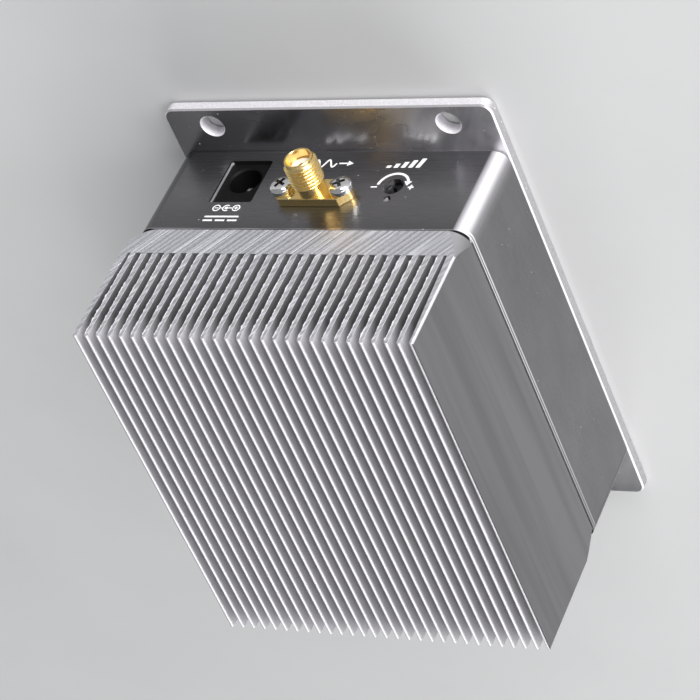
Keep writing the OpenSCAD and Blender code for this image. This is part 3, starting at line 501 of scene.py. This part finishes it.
def dress_nodes():
    """Gives every CAD node that stays its material."""
    nickel = plated_nickel()
    gold = plated_gold()
    polymer = white_polymer()
    black = black_moulding()
    tin = mottled("tinned_metal", grey(0.5), grey(0.72), (0.25, 0.45), metallic=1.0)
    copper = mottled("copper", (0.5, 0.22, 0.1, 1.0), (0.78, 0.42, 0.24, 1.0), (0.25, 0.45), metallic=1.0)
    ferrite = mottled("ferrite", grey(0.02), grey(0.05), (0.5, 0.75), per_mm=4.0, depth=0.02)
    brass = mottled("brass", (0.55, 0.38, 0.14, 1.0), (0.8, 0.6, 0.3, 1.0), (0.2, 0.4), metallic=1.0)
    chips = mottled("chip_ceramic", (0.3, 0.2, 0.12, 1.0), (0.55, 0.42, 0.28, 1.0), (0.35, 0.6))
    coats = {
        "housing": machined_metal(),
        "mounting_plate": sheet_metal(),
        "heatsink": extruded_metal(),
        "gain_rotor": rotor_metal(),
        "power_jack_body": black,
        "chip_packages": black,
        "capacitor_bases": black,
        "thermal_pad": mottled("silicone_pad", grey(0.06), grey(0.1), (0.6, 0.8), per_mm=3.0),
        "gain_trimmer_body": mottled("trimmer_case", grey(0.03), grey(0.06), (0.3, 0.45)),
        "circuit_board": board_laminate(),
        "board_spacers": brass,
        "power_transistor_ceramic": mottled("ceramic", grey(0.68, 0.03), grey(0.85, 0.03), (0.5, 0.7)),
        "supply_capacitors": mottled("drawn_can", grey(0.55), grey(0.75), (0.2, 0.35), metallic=1.0),
        "chip_components": chips,
        "power_transistor_flange": copper,
        "output_transformer_tubes": copper,
        "output_transformer_core": ferrite,
        "supply_choke": ferrite,
        "power_transistor_leads": gold,
    }
    for name in ("plate_screws", "heatsink_screws", "board_screws", "power_transistor_screws"):
        coats[name] = nickel
    for name in ("power_jack_pin", "power_jack_leaf", "power_jack_tags", "gain_trimmer_pins",
                 "solder_joints", "chip_leads"):
        coats[name] = tin
    for end in ("input", "output"):
        coats[end + "_socket_insulator"] = polymer
        coats[end + "_socket_contact"] = gold
    for name, material in coats.items():
        nodes[name].data.materials.clear()
        nodes[name].data.materials.append(material)
    return gold, nickel


# Helpers for meshes, in millimetres

def piece(name, mesh, material, body="amplifier"):
    """Turns a bmesh in millimetres into an object that rides on a body."""
    bmesh.ops.recalc_face_normals(mesh, faces=mesh.faces)
    bmesh.ops.scale(mesh, vec=(MM, MM, MM), verts=mesh.verts)
    data = bpy.data.meshes.new(name)
    mesh.to_mesh(data)
    mesh.free()
    data.materials.append(material)
    made = bpy.data.objects.new(name, data)
    bpy.context.scene.collection.objects.link(made)
    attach(made, body)
    return made


def smooth(made, angle=35):
    """Smooth shading up to an angle between faces."""
    made.data.shade_smooth()
    made.data.set_sharp_from_angle(angle=math.radians(angle))
    return made


def skin(mesh, rings):
    """Joins rings of points, all of one length, into a tube with closed ends."""
    loops = [[mesh.verts.new(point) for point in ring] for ring in rings]
    for low, high in zip(loops, loops[1:]):
        for i in range(len(low)):
            j = (i + 1) % len(low)
            mesh.faces.new((low[i], low[j], high[j], high[i]))
    mesh.faces.new(loops[0][::-1])
    mesh.faces.new(loops[-1])


def lathe(profile, count, shape=None):
    """Rings about Z for (radius, height) points; shape may change a point."""
    rings = []
    for radius, height in profile:
        ring = []
        for i in range(count):
            turn = 2 * math.pi * i / count
            point = Vector((radius * math.cos(turn), radius * math.sin(turn), height))
            ring.append(shape(point, turn) if shape else point)
        rings.append(ring)
    return rings


def end_frame(mount):
    """Frame on an end wall at a socket: X across, Y up, Z out of the wall, in millimetres."""
    out = Vector(mount["axis"])
    wall = panel_y if out.y < 0 else far_y
    up = Vector((0, 0, 1))
    across = up.cross(out)
    turned = Matrix((across, up, out)).transposed().to_4x4()
    return Matrix.Translation((mount["pos_m"][0] / MM, wall, mount["pos_m"][2] / MM)) @ turned


# Coaxial sockets

FLANGE_L, FLANGE_SIDE, FLANGE_W, FLANGE_T = 16.4, 12.2, 5.5, 1.85
FLANGE_EDGE = 0.12
POINT_R, POINT_STEPS = 1.5, 12
NECK_R, NECK_FLATS, NECK_L, NECK_SUNK = 2.7, 4.9, 2.0, 0.1
THREAD_R, THREAD_L, THREAD_PITCH, THREAD_DEPTH = 3.175, 4.9, 0.706, 0.42
THREAD_RELIEF, THREAD_FADE = 0.25, 0.3
GROOVE_PEAK, GROOVE_SLOPE = 1.18, 2.75
LEAD_R, LEAD_L, LEAD_EDGE, LEAD_STEP = 2.7, 0.75, 0.12, 0.1
SOCKET_R, SOCKET_DEPTH, SOCKET_EDGE = 2.3, 1.9, 0.08
INSULATOR_R, INSULATOR_SEAT = 2.05, 1.0
SOCKET_SIDES = 96
THREAD_STEPS = 14
HAIR = 1e-6


def flange_outline(inset):
    """Outline with slanted ends that run into round points, drawn in by inset."""
    middle = FLANGE_L / 2 - POINT_R
    slant = Vector((FLANGE_SIDE / 2 - middle, FLANGE_W / 2))
    turn = math.atan2(slant.y, slant.x) - math.acos(POINT_R / slant.length)
    radius, half = POINT_R - inset, FLANGE_W / 2 - inset
    side = middle + (radius - half * math.sin(turn)) / math.cos(turn)
    turns = [turn * (2 * i / POINT_STEPS - 1) for i in range(POINT_STEPS + 1)]
    point = [(middle + radius * math.cos(t), radius * math.sin(t)) for t in turns]
    end = [(side, -half)] + point + [(side, half)]
    return end + [(-x, -y) for x, y in end]


def thread_radius(height, turn):
    """Radius of the thread at a height over its start and an angle, fading in and out at its ends."""
    phase = (height / THREAD_PITCH - turn / (2 * math.pi)) % 1.0
    groove = min(1.0, max(0.0, GROOVE_PEAK - GROOVE_SLOPE * abs(phase - 0.5)))
    fade = min(1.0, height / THREAD_FADE, (THREAD_L - height) / THREAD_FADE)
    return THREAD_R - THREAD_DEPTH * groove * max(0.0, fade)


def socket_shell(name, mount, gold):
    """Flange with broken edges, necked and threaded barrel and its open socket."""
    mesh = bmesh.new()
    flange = [(FLANGE_EDGE, 0), (0, FLANGE_EDGE), (0, FLANGE_T - FLANGE_EDGE), (FLANGE_EDGE, FLANGE_T)]
    skin(mesh, [[(x, y, height) for x, y in flange_outline(inset)] for inset, height in flange])

    neck_top = FLANGE_T + NECK_L
    lead_z = neck_top + THREAD_L
    tip_z = lead_z + LEAD_L
    bottom_z = tip_z - SOCKET_DEPTH
    steps = round(THREAD_L / THREAD_PITCH * THREAD_STEPS)
    turns_z, turns_l = neck_top + THREAD_RELIEF, THREAD_L - 2 * THREAD_RELIEF
    profile = [(NECK_R, FLANGE_T - NECK_SUNK), (NECK_R, neck_top)]
    profile += [(THREAD_R - THREAD_DEPTH, neck_top)]
    profile += [(THREAD_R, turns_z + turns_l * i / steps) for i in range(steps + 1)]
    profile += [(LEAD_R + LEAD_EDGE, lead_z), (LEAD_R, lead_z + LEAD_STEP)]
    profile += [(LEAD_R, tip_z - LEAD_EDGE), (LEAD_R - LEAD_EDGE, tip_z)]
    profile += [(SOCKET_R + SOCKET_EDGE, tip_z), (SOCKET_R, tip_z - SOCKET_EDGE), (SOCKET_R, bottom_z)]
    profile += [(INSULATOR_R, bottom_z), (INSULATOR_R, bottom_z - INSULATOR_SEAT)]

    def shape(point, turn):
        """Flattens the neck and cuts the thread; other points stay."""
        radius = math.hypot(point.x, point.y)
        if point.z < neck_top + HAIR and radius < NECK_R + HAIR:
            point.x = max(-NECK_FLATS / 2, min(NECK_FLATS / 2, point.x))
        elif abs(radius - THREAD_R) < HAIR:
            radius = thread_radius(point.z - neck_top, turn)
            point.x, point.y = radius * math.cos(turn), radius * math.sin(turn)
        return point

    skin(mesh, lathe(profile, SOCKET_SIDES, shape))
    bmesh.ops.transform(mesh, matrix=end_frame(mount), verts=mesh.verts)
    made = smooth(piece(name, mesh, gold), 40)
    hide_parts(name.replace("_shell", "_body"))


# Socket screws

SCREW_PITCH = 12.22
SCREW_TURNS = ((-1, 30), (1, 60))
SCREW_SIDES = 64
SHANK_R, SHANK_L = 1.2, 5.45
HEAD_R, HEAD_H, HEAD_RIM, HEAD_EDGE = 2.3, 1.7, 0.75, 0.1
DOME_POWER, DOME_STEP, DOME_END_R = 0.55, 9, 0.12
RECESS_R, RECESS_W, RECESS_H = 1.3, 0.66, 0.95
RECESS_TIP, RECESS_MOUTH, RECESS_TAPER, RECESS_OVER = 0.5, 1.1, 0.3, 0.2
RECESS_EDGE = 0.05


def cross_cutter(turn):
    """Tapered cross that cuts the recess, standing in the head's top."""
    mesh = bmesh.new()
    rings = []
    for height, share in ((HEAD_H - RECESS_H, RECESS_TIP), (HEAD_H + RECESS_OVER, RECESS_MOUTH)):
        far, near = RECESS_R * share, RECESS_W / 2 * (1 - RECESS_TAPER + RECESS_TAPER * share)
        arm = [Vector((near, near, height)), Vector((near, far, height)), Vector((-near, far, height))]
        turns = [Matrix.Rotation(turn + step * math.pi / 2, 3, "Z") for step in range(4)]
        rings.append([rotation @ point for rotation in turns for point in arm])
    skin(mesh, rings)
    bmesh.ops.recalc_face_normals(mesh, faces=mesh.faces)
    data = bpy.data.meshes.new("cutter")
    mesh.to_mesh(data)
    mesh.free()
    return bpy.data.objects.new("cutter", data)


def pan_head(turn):
    """Mesh of one pan head screw with a cross recess, its seat on Z = 0."""
    mesh = bmesh.new()
    turns = [math.radians(angle) for angle in range(0, 90, DOME_STEP)]
    profile = [(SHANK_R, -SHANK_L), (SHANK_R, 0), (HEAD_R - HEAD_EDGE, 0), (HEAD_R, HEAD_EDGE)]
    rise = HEAD_H - HEAD_RIM
    profile += [(HEAD_R * math.cos(t) ** DOME_POWER, HEAD_RIM + rise * math.sin(t)) for t in turns]
    profile += [(DOME_END_R, HEAD_H)]
    skin(mesh, lathe(profile, SCREW_SIDES))
    bmesh.ops.recalc_face_normals(mesh, faces=mesh.faces)
    data = bpy.data.meshes.new("head")
    mesh.to_mesh(data)
    mesh.free()
    head = bpy.data.objects.new("head", data)
    cutter = cross_cutter(turn)
    for made in (head, cutter):
        bpy.context.scene.collection.objects.link(made)
    cut = head.modifiers.new("recess", "BOOLEAN")
    cut.object = cutter
    cut.operation = "DIFFERENCE"
    cut.solver = "EXACT"
    bpy.context.view_layer.update()
    result = bpy.data.meshes.new_from_object(head.evaluated_get(bpy.context.evaluated_depsgraph_get()))
    for made in (head, cutter):
        bpy.data.objects.remove(made)
    # Faces inside the recess take the second slot, which carries painted shade.
    for face in result.polygons:
        away = math.hypot(face.center.x, face.center.y)
        upright = abs(face.normal.z) < 0.8
        deep = face.center.z < HEAD_H - 0.7 * RECESS_H
        face.material_index = int(away < RECESS_R and (upright or deep))
    return result


def socket_screws(name, mount, nickel, shade):
    """Two heads on a socket's flange; the faces of their recesses carry painted shade."""
    mesh = bmesh.new()
    for side, turn in SCREW_TURNS:
        part = bmesh.new()
        part.from_mesh(pan_head(math.radians(turn)))
        bmesh.ops.translate(part, vec=(side * SCREW_PITCH / 2, 0, FLANGE_T), verts=part.verts)
        bmesh.ops.transform(part, matrix=end_frame(mount), verts=part.verts)
        copy = bpy.data.meshes.new("part")
        part.to_mesh(copy)
        part.free()
        mesh.from_mesh(copy)
    made = smooth(piece(name, mesh, nickel), 38)
    made.data.materials.append(shade)
    soften = made.modifiers.new("broken_edges", "BEVEL")
    soften.width = RECESS_EDGE * MM
    soften.segments = 2
    soften.limit_method = "ANGLE"
    soften.angle_limit = math.radians(40)
    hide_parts(name.replace("_heads", "_screws"))


# Saw burrs on the ends of the fins

FIN_COUNT, FIN_ROOT_T, FIN_TIP_T = 29, 1.0, 0.7
BURR_REACH = ((-1, 0.05), (1, 0.17))
BURR_STEP, BURR_FOLLOW, BURR_JITTER = 0.22, 0.45, 0.05
BURR_HOLD, BURR_LEAST, BURR_DEPTH = 0.06, 0.012, 0.05
BURR_PROUD, BURR_OFF = 0.35, 0.004
BURR_SEED = 11


def fin_burrs(name, end, material):
    """Torn slivers along both edges of every fin on one end face."""
    low, high = (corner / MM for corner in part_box("heatsink"))
    face_y = low.y if end < 0 else high.y
    root_z, tip_z = low.z + HEATSINK_BASE, high.z - FIN_TIP_T / 2
    pitch = (high.x - low.x - FIN_TIP_T) / (FIN_COUNT - 1)
    draw = random.Random(BURR_SEED + end)
    mesh = bmesh.new()
    steps = int((tip_z - root_z) / BURR_STEP)
    for index in range(1, FIN_COUNT - 1):
        middle = low.x + FIN_TIP_T / 2 + index * pitch
        for side, reach in BURR_REACH:
            width = 0.0
            rings = []
            for step in range(1, steps):
                z = root_z + step * BURR_STEP
                share = (z - root_z) / (tip_z - root_z)
                edge = middle + side * (FIN_ROOT_T + (FIN_TIP_T - FIN_ROOT_T) * share) / 2
                width += BURR_FOLLOW * (draw.random() ** 3 * reach * 2 - width)
                tip_x = edge + side * (BURR_LEAST + width)
                tip_y = face_y + end * BURR_PROUD * width
                rings.append([
                    (edge - side * BURR_HOLD, face_y + end * BURR_OFF, z),
                    (tip_x, tip_y, z + draw.uniform(-BURR_JITTER, BURR_JITTER)),
                    (edge + side * BURR_OFF, face_y - end * (BURR_DEPTH + width), z),
                ])
            skin(mesh, rings)
    smooth(piece(name, mesh, material), 60)


# White print on the panel

INK_T, INK_SUNK = 0.03, 0.01
GAIN_ARC_W, GAIN_SIGN_W = 0.5, 0.3
BAR_COUNT, BAR_PITCH, BAR_W, BAR_LEAN, BAR_V = 5, 1.5, 0.85, 0.28, 5.0
WAVE_Z, WAVE_W, WAVE_H, WAVE_STEPS, WAVE_STEP = 5.85, 0.34, 0.95, 24, 0.1
SUPPLY_GAP, SUPPLY_W = 1.7, 0.22
RING_PITCH, RING_R = 2.1, 0.72
DIRECT_L, DIRECT_W, DASH_L, DASH_PITCH = 7.2, 0.4, 2.0, 2.6


class Print:
    """Flat ink shapes on the panel; u runs to the right as it is read, v towards the plate."""

    def __init__(self, x, z):
        self.mesh = bmesh.new()
        self.x, self.z = x, z

    def point(self, u, v, lift):
        return (self.x - u, panel_y - lift, self.z - v)

    def shape(self, outline):
        """Filled outline."""
        skin(self.mesh, [[self.point(u, v, lift) for u, v in outline] for lift in (-INK_SUNK, INK_T)])

    def stroke(self, path, width):
        """Line of one width along a path."""
        path = [Vector(point) for point in path]
        pairs = []
        for i, here in enumerate(path):
            back = path[max(i - 1, 0)]
            ahead = path[min(i + 1, len(path) - 1)]
            along = (ahead - back).normalized()
            normal = Vector((-along.y, along.x)) * width / 2
            pairs.append((here + normal, here - normal))
        for (a, b), (c, d) in zip(pairs, pairs[1:]):
            self.shape([a, c, d, b])

    def ring(self, u, v, radius, width, start=0, end=360, steps=40):
        turns = [math.radians(start + (end - start) * i / steps) for i in range(steps + 1)]
        self.stroke([(u + radius * math.cos(t), v + radius * math.sin(t)) for t in turns], width)

    def disc(self, u, v, radius, steps=24):
        turns = [2 * math.pi * i / steps for i in range(steps)]
        self.shape([(u + radius * math.cos(t), v + radius * math.sin(t)) for t in turns])

    def sign(self, u, v, size, width, upright):
        """Minus, or plus if it has an upright."""
        self.stroke([(u - size / 2, v), (u + size / 2, v)], width)
        if upright:
            for end in (-1, 1):
                self.stroke([(u, v + end * width / 2), (u, v + end * size / 2)], width)

    def arrow(self, tail, tip, width, head):
        """Straight arrow with a filled head."""
        tail, tip = Vector(tail), Vector(tip)
        along = (tip - tail).normalized()
        across = Vector((-along.y, along.x)) * head * 0.6
        neck = tip - along * head
        self.stroke([tail, neck], width)
        self.shape([neck + across, neck - across, tip])

    def done(self, name, ink):
        piece(name, self.mesh, ink)


def panel_print(ink):
    """Generic signs in place of words: level bars, a turn arrow, a wave, polarity and direct current."""
    slot_x, _, slot_z = (value / MM for value in mounts["gain_slot"]["pos_m"])
    inlet_x = mounts["power_inlet"]["pos_m"][0] / MM
    inlet_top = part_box("power_jack_body")[1].z / MM

    gain = Print(slot_x, slot_z)
    gain.ring(-0.33, 0.37, 3.03, GAIN_ARC_W, start=177, end=18)
    gain.shape([(1.75, 1.38), (2.55, 0.25), (3.3, 1.32)])
    gain.sign(-3.95, -0.1, 1.25, GAIN_SIGN_W, upright=False)
    gain.sign(3.6, -0.2, 1.15, GAIN_SIGN_W, upright=True)
    for i in range(BAR_COUNT):
        left, tall = -3.5 + BAR_PITCH * i, 0.6 + 0.45 * i
        right, lean = left + BAR_W, BAR_LEAN * tall
        end_v = BAR_V + tall
        gain.shape([(left, BAR_V), (right, BAR_V), (right + lean, end_v), (left + lean, end_v)])
    gain.done("gain_print", ink)

    wave = Print(mounts["rf_input"]["pos_m"][0] / MM, WAVE_Z)
    turns = [(i, 2 * math.pi * i / WAVE_STEPS) for i in range(2 * WAVE_STEPS + 1)]
    wave.stroke([(-4.0 + WAVE_STEP * i, WAVE_H * math.sin(turn)) for i, turn in turns], WAVE_W)
    wave.arrow((1.35, 0), (4.3, 0), WAVE_W, head=1.15)
    wave.done("input_print", ink)

    supply = Print(inlet_x, inlet_top + SUPPLY_GAP)
    for side in (-1, 1):
        supply.ring(RING_PITCH * side, 0, RING_R, SUPPLY_W)
        supply.sign(RING_PITCH * side, 0, 0.8, 0.2, upright=side > 0)
    supply.ring(0, 0, RING_R, SUPPLY_W, start=50, end=310)
    supply.disc(0, 0, 0.34)
    supply.stroke([(-1.4, 0), (-0.8, 0)], SUPPLY_W)
    supply.stroke([(0.34, 0), (1.4, 0)], SUPPLY_W)
    supply.stroke([(-DIRECT_L / 2, -2.3), (DIRECT_L / 2, -2.3)], DIRECT_W)
    for i in range(3):
        u = -DIRECT_L / 2 + DASH_PITCH * i
        supply.stroke([(u, -3.3), (u + DASH_L, -3.3)], DIRECT_W)
    supply.done("supply_print", ink)


# Stage

CAMERA_FROM = Vector((-290.68, -385.02, 387.73)) * MM
CAMERA_RIGHT = Vector((-0.8732637, 0.3312950, -0.3572871))
CAMERA_UP = Vector((0.0226101, -0.7049334, -0.7089130))
CAMERA_LENS = 166.09
LAMP_AIM = Vector((0, 0, 20)) * MM


def add_camera():
    data = bpy.data.cameras.new("camera")
    data.lens = CAMERA_LENS
    data.sensor_width = 36.0
    data.clip_start, data.clip_end = 0.01, 20.0
    made = bpy.data.objects.new("camera", data)
    axes = Matrix((CAMERA_RIGHT, CAMERA_UP, CAMERA_RIGHT.cross(CAMERA_UP))).transposed()
    made.matrix_world = Matrix.Translation(CAMERA_FROM) @ axes.to_4x4()
    bpy.context.scene.collection.objects.link(made)
    bpy.context.scene.camera = made


def add_floor():
    mesh = bmesh.new()
    reach, drop = 2.5, 0.2 * MM
    signs = ((-1, -1), (1, -1), (1, 1), (-1, 1))
    mesh.faces.new([mesh.verts.new((x * reach, y * reach, -drop)) for x, y in signs])
    data = bpy.data.meshes.new("floor")
    mesh.to_mesh(data)
    mesh.free()
    data.materials.append(mottled("floor", grey(0.62), grey(0.65), (0.85, 0.95), per_mm=0.02, depth=0.0))
    floor = bpy.data.objects.new("floor", data)
    bpy.context.scene.collection.objects.link(floor)
    floor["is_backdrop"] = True


def add_softbox(name, azimuth, elevation, distance, size, power):
    """Area lamp that looks at the object; azimuth is counted from +X towards +Y."""
    data = bpy.data.lights.new(name, "AREA")
    data.shape = "RECTANGLE"
    data.size, data.size_y = size
    data.energy = power
    made = bpy.data.objects.new(name, data)
    a, e = math.radians(azimuth), math.radians(elevation)
    out = Vector((math.cos(a) * math.cos(e), math.sin(a) * math.cos(e), math.sin(e)))
    made.location = out * distance + LAMP_AIM
    made.rotation_euler = out.to_track_quat("Z", "Y").to_euler()
    made.visible_camera = False
    bpy.context.scene.collection.objects.link(made)


def add_light():
    world = bpy.data.worlds.new("world")
    bpy.context.scene.world = world
    world.use_nodes = True
    background = world.node_tree.nodes["Background"]
    background.inputs["Color"].default_value = (0.95, 0.97, 1.0, 1.0)
    background.inputs["Strength"].default_value = 0.3
    add_softbox("key", azimuth=100, elevation=46, distance=0.9, size=(0.7, 0.5), power=4.5)
    add_softbox("side", azimuth=178, elevation=48, distance=0.9, size=(0.6, 0.5), power=2.2)
    add_softbox("front", azimuth=228, elevation=10, distance=0.75, size=(1.15, 0.24), power=9.2)


add_camera()
gold, nickel = dress_nodes()
burrs = burr_metal()
# Painted shade for the screws' recesses.
recess = mottled("recess_painted_shade", grey(0.08), grey(0.22), (0.2, 0.4), metallic=1.0)
ink = white_ink()
for end in ("input", "output"):
    socket_shell(end + "_socket_shell", mounts["rf_" + end], gold)
    socket_screws(end + "_socket_heads", mounts["rf_" + end], nickel, recess)
fin_burrs("front_burrs", -1, burrs)
fin_burrs("rear_burrs", 1, burrs)
panel_print(ink)
add_floor()
add_light()
bpy.context.scene.view_settings.view_transform = "Standard"

boxes = {"cad": cad_box, "visual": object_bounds()}
{name: [list(corner) for corner in box] for name, box in boxes.items()}
